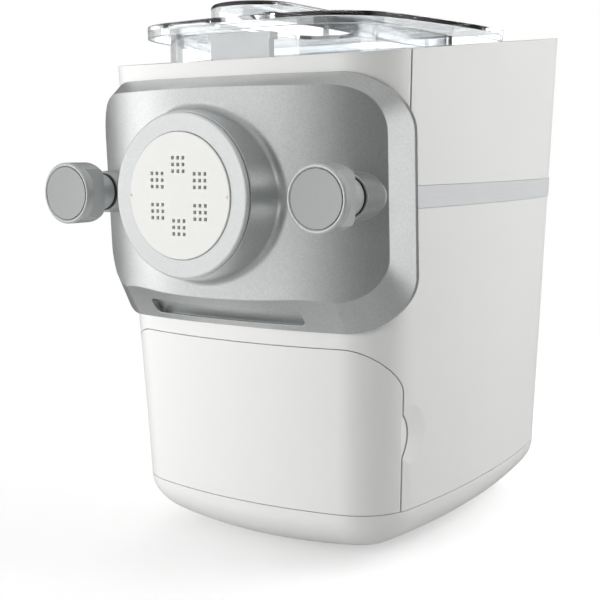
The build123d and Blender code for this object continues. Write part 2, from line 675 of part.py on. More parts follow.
def loop_point(half, top, bottom, corner, section, share):
    """Point on a rounded rectangle: four sides and four corners, counted clockwise from the top left."""
    rise0, rise1 = corner - bottom, top - corner
    span = half - corner
    side = section // 2
    if section % 2 == 0:
        starts = [(-span, top), (half, rise1), (span, -bottom), (-half, rise0)]
        ends = [(span, top), (half, rise0), (-span, -bottom), (-half, rise1)]
        (x0, r0), (x1, r1) = starts[side], ends[side]
        return x0 + (x1 - x0) * share, r0 + (r1 - r0) * share
    centre_x = span if side in (0, 1) else -span
    centre_r = rise1 if side in (0, 3) else rise0
    angle = radians(90 - 90 * side - 90 * share)
    return centre_x + corner * cos(angle), centre_r + corner * sin(angle)


def bevel_point(section, share, depth):
    """Where the bevel's straight ruling meets an upright plane at a depth."""
    xi, ri = loop_point(face_half, face_top, face_bottom, face_corner, section, share)
    xo, ro = loop_point(edge_half, edge_top, edge_bottom, edge_corner, section, share)
    yi, yo = face_y_at(xi, ri), edge_y_at(xo, ro)
    along = (face_y + depth - yi) / (yo - yi)
    return xi + (xo - xi) * along, ri + (ro - ri) * along


def bevel_section(depth, set_back=0.0):
    """Closed outline of the bevel's ruled surface in an upright plane, drawn further back if asked."""
    with BuildSketch(front_plane(depth + set_back)) as outline:
        with BuildLine():
            for section in range(8):
                knots = 8 if section % 2 == 0 else 6
                Spline(*[bevel_point(section, step / knots, depth) for step in range(knots + 1)])
        make_face()
    return outline.sketch.face()


def leaning_plane(apex):
    """Section plane of the leaning panel, from a depth on the nozzle axis."""
    tilt = Vector(0, -panel_lean, 1).normalized()
    return Plane(origin=(0, face_y + apex, axis_z), x_dir=(1, 0, 0), z_dir=tilt)


def rim_block(set_back, mode=Mode.SUBTRACT):
    """Everything behind the bevel's back edge, set back by a distance."""
    knots = [edge_half * step / 4 for step in range(-5, 6)]
    sweep = [(x, set_back + edge_sweep * (x / edge_half) ** 4) for x in knots]
    with BuildSketch(leaning_plane(edge_apex)) as curve:
        with BuildLine():
            Spline(*sweep)
            Polyline(sweep[-1], (knots[-1], curve_back), (knots[0], curve_back), sweep[0])
        make_face()
    extrude(curve.sketch, amount=curve_reach, both=True, mode=mode)


def convex_block(set_back, mode=Mode.INTERSECT):
    """Everything behind the convex front of the leaning panel, set back by a distance."""
    radius = face_radius - set_back
    reach = curve_reach
    end = set_back + radius - sqrt(radius**2 - reach**2)
    with BuildSketch(leaning_plane(face_apex)) as curve:
        with BuildLine():
            ThreePointArc((-reach, end), (0, set_back), (reach, end))
            Polyline((reach, end), (reach, curve_back), (-reach, curve_back), (-reach, end))
        make_face()
    extrude(curve.sketch, amount=reach, both=True, mode=mode)


def rounded_outline(half, top, bottom, corner, margin=0.0):
    """Front view rounded rectangle round the nozzle axis, drawn in by a margin."""
    with BuildSketch(front_plane(0)) as outline:
        with Locations((0, (top - bottom) / 2)):
            RectangleRounded(2 * (half - margin), top + bottom - 2 * margin, corner - margin)
    return outline.sketch


def braces(d0, d1, radius, mode=Mode.ADD):
    """Round pillars between two depths at the four fixing places."""
    with BuildSketch(front_plane(d0)) as spots:
        with Locations(brace_places):
            Circle(radius)
    extrude(spots.sketch, amount=d0 - d1, mode=mode)


with BuildPart() as front_panel:
    loft([bevel_section(bevel_near), bevel_section(bevel_far)], ruled=True)
    convex_block(0.0)
    extrude(rounded_outline(edge_half, edge_top, edge_bottom, edge_corner), amount=-panel_cut,
            mode=Mode.INTERSECT)
    turn([(nozzle_lip, 0), (nozzle_lip, nozzle_front), (nozzle_foot, nozzle_root), (root_end, nozzle_root),
          (root_end, 0)])
    near_width, near_length = 5.0, 12.0
    foot_edges = [
        edge for edge in front_panel.edges()
        if abs(edge.bounding_box().size.X - 2 * nozzle_root) < near_width
        and abs(edge.length - 2 * pi * nozzle_root) < near_length
        and edge.center().Y > face_y + 2 * nozzle_lip
    ]
    fillet(foot_edges, radius=nozzle_fillet)
    for side in (-1, 1):
        turn([(boss_front, 0), (boss_front, boss_radius), (boss_foot, boss_root), (root_end, boss_root),
              (root_end, 0)], x=side * knob_x)
    housing_block(base_seam_z, rim_high, -fit_gap, mode=Mode.SUBTRACT)
    rim_block(panel_wall)
    with BuildPart(mode=Mode.PRIVATE) as cavity:
        extrude(rounded_outline(face_half, face_top, face_bottom, face_corner, cavity_margin),
                amount=-panel_cut)
        convex_block(panel_wall)
        turn(rod_shape(0, cavity_end, nozzle_root), mode=Mode.SUBTRACT)
        for side in (-1, 1):
            turn(rod_shape(0, cavity_end, boss_root), x=side * knob_x, mode=Mode.SUBTRACT)
        for x, rise in brace_places:
            turn(rod_shape(0, cavity_end, brace_radius), x=x, rise=rise, mode=Mode.SUBTRACT)
    add(cavity.part, mode=Mode.SUBTRACT)
    braces(brace_front, plate_front - seat_gap, brace_radius)
    braces(brace_front, plate_front + overlap, screw_radius, mode=Mode.SUBTRACT)
    turn(tube_shape(recess_end + nozzle_wall, root_end, sleeve_outer, nozzle_front - nozzle_wall),
         mode=Mode.SUBTRACT)
    turn(rod_shape(sleeve_end, root_end, sleeve_outer + overlap), mode=Mode.SUBTRACT)
    turn(tube_shape(0, recess_end, sleeve_outer, ring_plug + recess_gap), mode=Mode.SUBTRACT)
    turn(rod_shape(0, sleeve_front, sleeve_outer + overlap), mode=Mode.SUBTRACT)
    turn(tube_shape(lug_front - recess_gap, lug_rear + recess_gap, ring_plug, lug_radius + recess_gap),
         mode=Mode.SUBTRACT)
    turn(rod_shape(0, cavity_end, tube_bore + tube_wall + tube_gap), mode=Mode.SUBTRACT)
    for side in (-1, 1):
        turn(rod_shape(0, cavity_end, rod_radius + recess_gap), x=side * knob_x, mode=Mode.SUBTRACT)
    with BuildPart(mode=Mode.PRIVATE) as finger_slot:
        with BuildSketch(front_plane(0, 0, (slot_low + slot_high) / 2)) as slot_outline:
            RectangleRounded(2 * slot_half, slot_high - slot_low, slot_corner)
        extrude(slot_outline.sketch, amount=-panel_cut)
        loft([bevel_section(bevel_near, slot_sink), bevel_section(bevel_far, slot_sink)], ruled=True,
             mode=Mode.SUBTRACT)
    add(finger_slot.part, mode=Mode.SUBTRACT)
front_panel.part.label = "front_panel"

with BuildPart() as extruder_tube:
    turn(tube_shape(sleeve_front + tube_seat, plate_front - tube_seat, tube_bore, tube_bore + tube_wall))
    turn(tube_shape(sleeve_end + tube_seat, plate_front - tube_seat, tube_bore, tube_flange))
extruder_tube.part.label = "extruder_tube"

with BuildPart() as panel_plate:
    extrude(u_face(plate_front, plate_radius, window_top - 3 * seal_inset), amount=plate_front - plate_rear)
    extrude(u_face(plate_front, plug_radius, plug_top), amount=plate_front - plug_rear)
    turn(rod_shape(plate_front - overlap, plug_rear + overlap, tube_bore + tube_seat), mode=Mode.SUBTRACT)
    braces(plate_front - overlap, plug_rear + overlap, screw_radius, mode=Mode.SUBTRACT)
    braces(plug_rear - plate_head_sunk - seat_gap, plug_rear + overlap, screw_radius + head_room,
           mode=Mode.SUBTRACT)
panel_plate.part.label = "panel_plate"

with BuildPart() as panel_screws:
    head_rear = plug_rear - plate_head_sunk + head_high
    braces(plate_screw_front, head_rear, screw_radius)
    braces(plug_rear - plate_head_sunk, head_rear, screw_radius + head_grow)
panel_screws.part.label = "panel_screws"

with BuildPart() as panel_seal:
    extrude(u_face(plate_rear, plate_radius - seal_inset, window_top - 4 * seal_inset),
            amount=-seal_thickness)
    extrude(u_face(plate_rear, plug_radius + plate_gap, plug_top + plate_gap), amount=-2 * seal_thickness,
            both=True, mode=Mode.SUBTRACT)
panel_seal.part.label = "panel_seal"

# ---------------------------------------------------------------- retaining ring and shaping disc
ring_round, edge_break = 1.2, 0.4
ring_back = ring_face + ring_depth
disc_step, disc_gap = 3.1, 0.3
disc_rear = sleeve_front - disc_gap
tick_size, tick_inset, tick_sink = 1.1, 1.3, 0.5

with BuildPart() as retaining_ring:
    ring_skirt = recess_end - fit_gap
    ring_step = disc_step - fit_gap
    turn([(ring_face, disc_radius + disc_gap), (ring_face, ring_radius - ring_round),
          (ring_face + edge_break, ring_radius - edge_break), (ring_face + ring_round, ring_radius),
          (ring_back, ring_radius), (ring_back, ring_plug), (ring_skirt, ring_plug),
          (ring_skirt, disc_flange + disc_gap), (ring_step, disc_flange + disc_gap),
          (ring_step, disc_radius + disc_gap)])
    with BuildSketch(front_plane(lug_front)) as lugs:
        with PolarLocations(lug_radius - lug_high / 2, 3):
            Rectangle(lug_high, lug_wide)
    extrude(lugs.sketch, amount=lug_front - lug_rear)
retaining_ring.part.label = "retaining_ring"

with BuildPart() as shaping_disc:
    turn([(0, 0), (0, disc_radius - edge_break), (edge_break, disc_radius), (disc_step, disc_radius),
          (disc_step, disc_flange), (disc_rear, disc_flange), (disc_rear, 0)])
    with BuildSketch(front_plane(-overlap)) as dough_holes:
        with PolarLocations(hole_circle, 6, start_angle=90, rotate=False):
            with GridLocations(hole_pitch, hole_pitch, 3, 3):
                Rectangle(hole_size, hole_size)
    extrude(dough_holes.sketch, amount=-(disc_rear + 2 * overlap), mode=Mode.SUBTRACT)
    with BuildSketch(front_plane(0)) as ticks:
        for side in (-1, 1):
            with Locations((side * (disc_radius - tick_inset), 0)):
                RegularPolygon(tick_size, 3, rotation=90 - side * 90)
    extrude(ticks.sketch, amount=-tick_sink, mode=Mode.SUBTRACT)
shaping_disc.part.label = "shaping_disc"

# ---------------------------------------------------------------- clamp knobs
rim_inner, rim_break, rim_round = 15.2, 0.6, 0.9
insert_radius, insert_floor, insert_thin, insert_thick, insert_seat = 14.8, 3.3, 0.45, 0.9, 0.05
flat_from, flat_block, knob_round = 7.5, 10.0, 4.5
rod_front, rod_grip_gap = 12.2, 0.02
rod_tip_long, rod_tip_cut = 3.0, 2.0
thread_turns, thread_pitch, thread_deep, thread_first = 6, 2.0, 0.6, 6.0
knobs = {}


def knob_grip_profile():
    """Cap rim, barrel and neck of the turning grip."""
    return [(insert_floor, 0), (insert_floor, insert_radius + seat_gap), (knob_front + rim_break, rim_inner),
            (knob_front, rim_inner + rim_break), (knob_front, knob_radius - rim_round),
            (knob_front + rim_round, knob_radius), (knob_back, knob_radius), (knob_back, neck_radius),
            (neck_end, neck_radius), (neck_end, 0)]


def knob_insert_profile():
    """Slightly dished cap disc seated inside the rim."""
    seat = insert_floor - insert_seat
    dish = []
    for share in (0, 0.25, 0.5, 0.75, 1):
        thick = insert_thin + (insert_thick - insert_thin) * share**2
        dish.append((seat - thick, insert_radius * share))
    return dish + [(seat, insert_radius), (seat, 0)]


for side_name, side in (("left", -1), ("right", 1)):
    knob_centre = side * knob_x
    with BuildPart() as grip:
        turn(knob_grip_profile(), x=knob_centre)
        knob_middle = face_y + (knob_front + knob_back) / 2
        rims = grip.edges().filter_by(GeomType.CIRCLE)
        rims = [rim for rim in rims if abs(rim.radius - knob_radius) < seat_gap]
        rims = [rim for rim in rims if rim.center().Y > knob_middle]
        fillet(rims, radius=knob_round)
        for flank in (-1, 1):
            flat_x = knob_centre + flank * (knob_flat + flat_block)
            box(flat_x - flat_block, flat_x + flat_block, flat_from, knob_back + overlap,
                axis_z - knob_radius - overlap, axis_z + knob_radius + overlap, mode=Mode.SUBTRACT)
        turn(rod_shape(rod_front - seat_gap, rod_end, rod_radius + rod_grip_gap), x=knob_centre,
             mode=Mode.SUBTRACT)
    grip.part.label = "knob_" + side_name + "_grip"
    with BuildPart() as insert:
        turn(knob_insert_profile(), x=knob_centre)
    insert.part.label = "knob_" + side_name + "_insert"
    with BuildPart() as rod:
        turn([(rod_front, 0), (rod_front, rod_radius), (rod_end - rod_tip_long, rod_radius),
              (rod_end, rod_radius - rod_tip_cut), (rod_end, 0)], x=knob_centre)
        for groove in range(thread_turns):
            start = rod_end - thread_first - thread_pitch * groove
            root, crest = rod_radius - thread_deep, rod_radius + overlap
            turn([(start, root), (start - thread_pitch / 4, crest), (start + thread_pitch * 3 / 4, crest),
                  (start + thread_pitch / 2, root)], x=knob_centre, mode=Mode.SUBTRACT)
    rod.part.label = "knob_" + side_name + "_rod"
    with BuildPart() as washer:
        turn(tube_shape(neck_end + seat_gap, boss_front - disc_gap, rod_radius + seat_gap,
                        neck_radius + fit_gap), x=knob_centre)
    washer.part.label = "knob_" + side_name + "_washer"
    knobs[side_name] = (grip.part, insert.part, rod.part, washer.part)

# ---------------------------------------------------------------- auger and mixing paddle
auger_front, auger_rear = 12.0, 70.0
auger_tip_radius, auger_tip_long = 3.0, 6.0
flight_thick, flight_run_out = 3.2, 8.0
spigot_radius, spigot_long, spigot_gap = 4.0, 11.5, 0.05
hex_across = 12.0
hex_front, hex_long, hex_gap = 170.0, 16.0, 0.15
paddle_gap = 0.2
paddle_rear = tub_rear - tub_wall - 1.5
arm_depths = (78.0, 172.0)
arm_half_wide, arm_half_deep, bar_half = 5.0, 4.0, 3.0
finger_reach, finger_half_deep, finger_half_high = 34.0, 3.0, 4.0
finger_depths = (102.0, 125.0, 148.0)

with BuildPart() as auger:
    flight_start = auger_front + auger_tip_long
    turn([(auger_front, 0), (auger_front, auger_tip_radius), (flight_start, auger_core),
          (auger_rear, auger_core), (auger_rear, 0)])
    centre = Vector(0, face_y + flight_start, axis_z)
    flight_root = auger_core - overlap
    helix = Helix(auger_pitch, auger_rear - flight_run_out - flight_start, (flight_root + auger_radius) / 2,
                  center=centre, direction=(0, 1, 0))
    flight_plane = Plane(origin=helix @ 0, x_dir=(helix @ 0) - centre, z_dir=helix % 0)
    with BuildSketch(flight_plane) as flight:
        Rectangle(auger_radius - flight_root, flight_thick)
    sweep(flight.sketch, path=helix, is_frenet=True)
    turn(rod_shape(auger_rear - spigot_long - fit_gap, auger_rear + overlap, spigot_radius + spigot_gap),
         mode=Mode.SUBTRACT)
auger.part.label = "auger"

with BuildPart() as mixing_paddle:
    hub = auger_rear + paddle_gap
    turn([(auger_rear - spigot_long, 0), (auger_rear - spigot_long, spigot_radius), (hub, spigot_radius),
          (hub, auger_core), (paddle_rear, auger_core), (paddle_rear, 0)])
    front_arm, rear_arm = arm_depths
    for depth in arm_depths:
        box(-arm_half_wide, arm_half_wide, depth - arm_half_deep, depth + arm_half_deep,
            axis_z - paddle_reach, axis_z + paddle_reach)
    for side in (-1, 1):
        bar = axis_z + side * (paddle_reach - bar_half)
        box(-arm_half_wide, arm_half_wide, front_arm - arm_half_deep, rear_arm + arm_half_deep,
            bar - bar_half, bar + bar_half)
    for depth in finger_depths:
        box(-finger_reach, finger_reach, depth - finger_half_deep, depth + finger_half_deep,
            axis_z - finger_half_high, axis_z + finger_half_high)
    with BuildSketch(front_plane(hex_front - paddle_gap)) as socket:
        RegularPolygon(hex_across / 2 + hex_gap, 6, major_radius=False)
    extrude(socket.sketch, amount=-(hex_long + gear_step), mode=Mode.SUBTRACT)
mixing_paddle.part.label = "mixing_paddle"

# ---------------------------------------------------------------- gear train
pressure = radians(20)
backlash = 0.22
dedendum, flank_start, tip_relief = 1.25, 0.6, 0.15
idler_pin_radius, motor_shaft_radius = 3.0, 3.0
hub_radius, hub_front, hub_rear = 14.0, out_gear_depth - 2.3, out_gear_depth + gear_width + 2.0
pinion_front, pinion_width = in_gear_depth - 1.0, 10.0
shaft_out = 2.6


def involute(angle):
    """Involute function of a pressure angle."""
    return tan(angle) - angle


def gear_face(teeth, module, depth, drop, phase=0.0):
    """Spur gear outline with involute flanks thinned for backlash."""
    pitch_radius = module * teeth / 2
    base_radius = pitch_radius * cos(pressure)
    radii = [pitch_radius - dedendum * module, max(pitch_radius - flank_start * module, base_radius),
             pitch_radius, pitch_radius + module / 2, pitch_radius + module - tip_relief]
    corners = []
    for tooth in range(teeth):
        centre = 2 * pi * tooth / teeth + radians(phase)
        half_widths = []
        for radius in radii:
            flank = involute(acos(min(base_radius / max(radius, base_radius), 1.0)))
            thinning = backlash / (2 * pitch_radius)
            half_widths.append(pi / (2 * teeth) + involute(pressure) - flank - thinning)
        for radius, half_width in zip(radii, half_widths):
            corners.append((radius * cos(centre - half_width), radius * sin(centre - half_width)))
        for radius, half_width in zip(reversed(radii), reversed(half_widths)):
            corners.append((radius * cos(centre + half_width), radius * sin(centre + half_width)))
    with BuildSketch(front_plane(depth, 0, -drop)) as outline:
        with BuildLine():
            Polyline(*corners, close=True)
        make_face()
    return outline.sketch


def gear_bore(radius, drop):
    """Bore through every gear of one axis."""
    turn(rod_shape(out_gear_depth - gear_width, case_rear + gear_width, radius), rise=-drop,
         mode=Mode.SUBTRACT)


with BuildPart() as drive_shaft:
    with BuildSketch(front_plane(hex_front)) as hexagon:
        RegularPolygon(hex_across / 2, 6, major_radius=False)
    extrude(hexagon.sketch, amount=-hex_long)
    turn(rod_shape(tub_rear - tub_wall + plate_gap, case_rear + shaft_out, shaft_radius))
drive_shaft.part.label = "drive_shaft"

with BuildPart() as output_gear:
    extrude(gear_face(teeth_large, module_out, out_gear_depth, 0, 180 / teeth_large), amount=-gear_width)
    turn(rod_shape(hub_front, hub_rear, hub_radius))
    gear_bore(shaft_radius, 0)
output_gear.part.label = "output_gear"

with BuildPart() as idler_gear:
    small_front = out_gear_depth + fit_gap
    extrude(gear_face(teeth_large, module_in, in_gear_depth, idler_drop, 180 / teeth_large),
            amount=-in_gear_width)
    extrude(gear_face(teeth_small, module_out, small_front, idler_drop),
            amount=small_front - in_gear_depth - fit_gap)
    gear_bore(idler_pin_radius + bearing_gap, idler_drop)
idler_gear.part.label = "idler_gear"

with BuildPart() as motor_pinion:
    extrude(gear_face(teeth_small, module_in, pinion_front, motor_drop), amount=-pinion_width)
    gear_bore(motor_shaft_radius, motor_drop)
motor_pinion.part.label = "motor_pinion"

# ---------------------------------------------------------------- gear case
case_top, case_middle, case_bottom = 54.0, 42.0, 17.0
lug_places = [(-57, 2), (57, 2), (-45, -62), (45, -62), (-17, -117), (17, -117)]
case_lug, case_screw_long, case_head_high = 5.0, 11.0, 1.6
case_head_grow, shaft_window = 1.4, 13.0
cover_front = case_rear + case_cover_gap
cover_rear = cover_front + case_wall


def case_face(depth, margin=0.0):
    """Hull round the three gear axes."""
    with BuildSketch(front_plane(depth)) as outline:
        Circle(case_top - margin)
        with Locations((0, -idler_drop)):
            Circle(case_middle - margin)
        with Locations((0, -motor_drop)):
            Circle(case_bottom - margin)
        make_hull()
    return outline.sketch


def case_lugs(d0, d1, radius, mode=Mode.ADD):
    """Round lugs or holes between two depths at the six fixing places of the case."""
    with BuildSketch(front_plane(d0)) as spots:
        with Locations(lug_places):
            Circle(radius)
    extrude(spots.sketch, amount=d0 - d1, mode=mode)


with BuildPart() as gear_case:
    extrude(case_face(case_front), amount=case_front - case_rear)
    case_lugs(case_front, case_rear, case_lug)
    extrude(case_face(case_front + case_wall, case_wall), amount=case_front - case_rear, mode=Mode.SUBTRACT)
    turn(rod_shape(case_front - overlap, out_gear_depth, bush_outer), mode=Mode.SUBTRACT)
    turn(rod_shape(case_front - overlap, out_gear_depth, idler_pin_radius), rise=-idler_drop,
         mode=Mode.SUBTRACT)
    case_lugs(case_rear - case_screw_long - overlap, case_rear + overlap, screw_radius, mode=Mode.SUBTRACT)
gear_case.part.label = "gear_case"

with BuildPart() as case_cover:
    hole_front, hole_rear = case_rear - overlap, cover_rear + overlap
    extrude(case_face(cover_front), amount=-case_wall)
    case_lugs(cover_front, cover_rear, case_lug)
    turn(rod_shape(hole_front, hole_rear, shaft_radius + bearing_gap), mode=Mode.SUBTRACT)
    turn(rod_shape(hole_front, hole_rear, idler_pin_radius), rise=-idler_drop, mode=Mode.SUBTRACT)
    turn(rod_shape(hole_front, hole_rear, shaft_window), rise=-motor_drop, mode=Mode.SUBTRACT)
    case_lugs(hole_front, hole_rear, screw_radius, mode=Mode.SUBTRACT)
case_cover.part.label = "case_cover"

with BuildPart() as case_screws:
    case_head = cover_rear + seat_gap
    case_lugs(case_rear - case_screw_long, case_head, screw_radius)
    case_lugs(case_head, case_head + case_head_high, screw_radius + case_head_grow)
case_screws.part.label = "case_screws"

with BuildPart() as output_bush:
    bush_bore = shaft_radius + bearing_gap
    bush_seat = case_front + case_wall + seat_gap
    turn(tube_shape(bulkhead_front + seat_gap, bush_seat, bush_bore, bush_outer))
    turn(tube_shape(bush_seat, bush_seat + bush_flange_thick, bush_bore, bush_flange))
output_bush.part.label = "output_bush"

with BuildPart() as idler_pin:
    turn(rod_shape(case_front + seat_gap, cover_rear - seat_gap, idler_pin_radius), rise=-idler_drop)
idler_pin.part.label = "idler_pin"

# ---------------------------------------------------------------- motor
can_wall = 2.0
rotor_radius, stator_inner = 20.0, 20.8
stack_inset = 10.0
stack_front, stack_rear = motor_front + stack_inset, motor_rear - stack_inset
mount_size, mount_corner, mount_hole, mount_thick = 74.0, 8.0, 14.0, 2.2
mount_rear = motor_front - 2 * seat_gap
mount_front = mount_rear - mount_thick
port_circle, port_long, port_wide, port_count = 22.0, 12.0, 6.0, 6
fan_front, fan_rear, fan_radius = motor_rear + 2.5, motor_rear + 10.0, 27.0
fan_plate, fan_hub, blade_count, blade_middle, blade_long, blade_thick = 1.4, 8.0, 9, 17.0, 20.0, 1.6

with BuildPart() as motor_mount:
    with BuildSketch(front_plane(mount_front, 0, -motor_drop)) as plate:
        RectangleRounded(mount_size, mount_size, mount_corner)
        Circle(mount_hole, mode=Mode.SUBTRACT)
    extrude(plate.sketch, amount=mount_front - mount_rear)
    case_lugs(mount_front - overlap, mount_rear + overlap, screw_radius + case_head_grow + fit_gap,
              mode=Mode.SUBTRACT)
motor_mount.part.label = "motor_mount"

with BuildPart() as motor_can:
    turn(tube_shape(motor_front, motor_rear, motor_shaft_radius + bearing_gap, motor_radius),
         rise=-motor_drop)
    turn(rod_shape(motor_front + can_wall, motor_rear - can_wall, motor_radius - can_wall),
         rise=-motor_drop, mode=Mode.SUBTRACT)
    with BuildSketch(front_plane(motor_rear, 0, -motor_drop)) as ports:
        with PolarLocations(port_circle, port_count):
            SlotOverall(port_long, port_wide, rotation=90)
    extrude(ports.sketch, amount=2 * can_wall, both=True, mode=Mode.SUBTRACT)
motor_can.part.label = "motor_can"

with BuildPart() as motor_stator:
    turn(tube_shape(stack_front, stack_rear, stator_inner, motor_radius - can_wall - seat_gap),
         rise=-motor_drop)
motor_stator.part.label = "motor_stator"

with BuildPart() as rotor_core:
    turn(tube_shape(stack_front, stack_rear, motor_shaft_radius, rotor_radius), rise=-motor_drop)
rotor_core.part.label = "rotor_core"

with BuildPart() as motor_shaft:
    turn(rod_shape(in_gear_depth - 3 * overlap, fan_rear, motor_shaft_radius), rise=-motor_drop)
motor_shaft.part.label = "motor_shaft"

with BuildPart() as cooling_fan:
    turn(tube_shape(fan_front, fan_front + fan_plate, motor_shaft_radius, fan_radius), rise=-motor_drop)
    turn(tube_shape(fan_front, fan_rear, motor_shaft_radius, fan_hub), rise=-motor_drop)
    with BuildSketch(front_plane(fan_rear, 0, -motor_drop)) as blades:
        with PolarLocations(blade_middle, blade_count):
            Rectangle(blade_long, blade_thick)
    extrude(blades.sketch, amount=fan_rear - fan_front - fan_plate / 2)
cooling_fan.part.label = "cooling_fan"

# ---------------------------------------------------------------- electronics and cord inlet
board_half, board_front, board_rear = 58.0, 196.0, 262.0
transformer = (-38, -8, 210, 240, 25)
filter_coil = (6, 22, 208, 236, 17)
relay = (28, 38, 214, 240, 14)
capacitor_places, capacitor_radius, capacitor_high = [(28, 250), (8, 250)], 5.5, 20.0
grommet_bore, grommet_lip, grommet_outer_lip, grommet_thick = 4.2, 2.5, 3.0, 2.5
grommet_out, grommet_in, grommet_chamfer = 0.8, 2.1, 0.8

with BuildPart() as power_board:
    box(-board_half, board_half, board_front, board_rear, board_z, board_z + board_thick)
    posts(board_post_places, screw_radius, board_z - overlap, board_z + 2 * board_thick, mode=Mode.SUBTRACT)
    for x0, x1, d0, d1, high in (transformer, filter_coil, relay):
        box(x0, x1, d0, d1, board_z + board_thick / 2, board_z + high)
    posts(capacitor_places, capacitor_radius, board_z + board_thick / 2, board_z + capacitor_high)
power_board.part.label = "power_board"

with BuildPart() as board_screws:
    board_head = board_z + board_thick + seat_gap
    posts(board_post_places, screw_radius, board_z - board_screw_long, board_head)
    posts(board_post_places, screw_radius + head_grow, board_head, board_head + head_high)
board_screws.part.label = "board_screws"

with BuildPart() as cord_grommet:
    outer_face = rear_at(gland_z) + grommet_out
    inner_face = rear_at(gland_z) - wall - grommet_in
    waist = gland_hole - disc_gap + seat_gap
    turn([(inner_face - grommet_thick, grommet_bore),
          (inner_face - grommet_thick, gland_hole + grommet_lip), (inner_face, gland_hole + grommet_lip),
          (inner_face, waist), (outer_face, waist),
          (outer_face, gland_hole + grommet_outer_lip),
          (outer_face + grommet_thick, gland_hole + grommet_outer_lip - grommet_chamfer),
          (outer_face + grommet_thick, grommet_bore)], x=gland_x, rise=gland_z - axis_z)
cord_grommet.part.label = "cord_grommet"

# ---------------------------------------------------------------- export
builders = [
    side_wrap, front_fascia, clamp_sockets, band_trim, base_pan, foot_pads, base_screws, bay_frame,
    bulkhead, top_deck, control_panel, display_window, control_board, mixing_tub, latch_bracket,
    shaft_seal, lid_cover, drawer_tray, drawer_front, drawer_screws, front_panel, extruder_tube,
    panel_plate, panel_screws, panel_seal, retaining_ring, shaping_disc, auger, mixing_paddle,
    drive_shaft, output_gear, idler_gear, motor_pinion, gear_case, case_cover, case_screws,
    output_bush, idler_pin, motor_mount, motor_can, motor_stator, rotor_core, motor_shaft,
    cooling_fan, power_board, board_screws, cord_grommet,
]
pieces = [builder.part for builder in builders]
pieces += list(keys.values())
for knob_pieces in knobs.values():
    pieces += knob_pieces
for piece in pieces:
    export_step(piece, "parts/" + piece.label + ".step")
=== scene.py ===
from math import cos, radians, sin

import bpy
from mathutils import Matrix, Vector

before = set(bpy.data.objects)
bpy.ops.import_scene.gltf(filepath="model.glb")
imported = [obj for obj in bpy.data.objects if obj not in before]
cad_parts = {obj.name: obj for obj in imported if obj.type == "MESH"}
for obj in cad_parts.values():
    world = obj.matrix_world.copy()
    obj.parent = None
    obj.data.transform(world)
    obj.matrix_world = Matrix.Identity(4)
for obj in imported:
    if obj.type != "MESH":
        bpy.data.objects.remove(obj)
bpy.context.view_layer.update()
scene = bpy.context.scene
scene.view_settings.view_transform = "Standard"

# ------------------------------------------------------------------ camera
# It stands off the machine's right front corner, a hand above the nozzle axis, and looks
# slightly down through a lens of about 66 mm on a full frame sensor.
lens = bpy.data.cameras.new("camera")
lens.lens = 66.41
lens.sensor_width = 36.0
camera = bpy.data.objects.new("camera", lens)
camera.location = (0.37143, -0.60950, 0.23448)
camera.rotation_euler = (radians(82.4076), radians(0.2130), radians(33.0158))
scene.collection.objects.link(camera)
scene.camera = camera


# ------------------------------------------------------------------ studio
# The machine stands on a white paper sweep in a tent. Matt surfaces get their light from
# four soft boxes and a weak grey tent. Gloss shows only the tent's bright and dark walls,
# because lamps and paper are hidden from it.
def linear(code):
    """sRGB hex colour as the linear colour that a shader takes."""
    parts = [int(code[i:i + 2], 16) / 255 for i in (0, 2, 4)]
    return tuple(c / 12.92 if c <= 0.04045 else ((c + 0.055) / 1.055) ** 2.4 for c in parts) + (1.0,)


def put(tree, kind, settings={}, sockets={}):
    """Add a node, with its settings, and each socket as a value or as a link from (node, output)."""
    made = tree.nodes.new(kind)
    for name, value in settings.items():
        setattr(made, name, value)
    for name, value in sockets.items():
        if isinstance(value, tuple) and isinstance(value[0], bpy.types.Node):
            tree.links.new(value[0].outputs[value[1]], made.inputs[name])
        else:
            made.inputs[name].default_value = value
    return made


def empty_tree(owner):
    """Node tree of a material or world with nothing in it."""
    owner.use_nodes = True
    owner.node_tree.nodes.clear()
    return owner.node_tree


def direction(turn, rise=0.0):
    """Unit vector turned round the machine by degrees from straight in front, and raised."""
    turn, rise = radians(turn), radians(rise)
    return sin(turn) * cos(rise), -cos(turn) * cos(rise), sin(rise)


tent = bpy.data.worlds.new("studio tent")
scene.world = tent
tree = empty_tree(tent)
where = put(tree, "ShaderNodeTexCoord")


def tent_wall(toward, near, far, edge, middle):
    """Level of a tent wall, from edge to middle as the cosine of the angle to it goes near to far."""
    facing = put(tree, "ShaderNodeVectorMath", {"operation": "DOT_PRODUCT"},
                 {0: (where, "Generated"), 1: toward})
    return put(tree, "ShaderNodeMapRange", {"interpolation_type": "SMOOTHSTEP"}, {
        "Value": (facing, "Value"), "From Min": near, "From Max": far, "To Min": edge, "To Max": middle})


# Matt light darkens towards the front right. Through the clear pieces the tent is near white.
ambient = tent_wall(direction(27), near=0.0, far=0.9, edge=0.30, middle=0.08)
through = tent_wall(direction(-147, -8), near=0.55, far=0.95, edge=0.74, middle=0.94)

# Mirrored are a wide front wall, a bright strip at its left end, a wall at the right that
# lights the panel's bevel, the tent's roof and the paper below.
mirrored = tent_wall(direction(-35), near=0.34, far=0.91, edge=0.15, middle=1.05)
left_strip = tent_wall(direction(-76), near=0.92, far=1.0, edge=0.0, middle=1.0)
right_strip = tent_wall(direction(110), near=0.85, far=1.0, edge=0.0, middle=1.2)
roof = tent_wall(direction(0, 90), near=0.3, far=0.7, edge=0.0, middle=0.4)
ground = tent_wall(direction(0, -90), near=0.3, far=0.7, edge=0.0, middle=0.3)
for wall in (left_strip, right_strip, roof, ground):
    mirrored = put(tree, "ShaderNodeMath", {"operation": "ADD"}, {0: (mirrored, 0), 1: (wall, 0)})

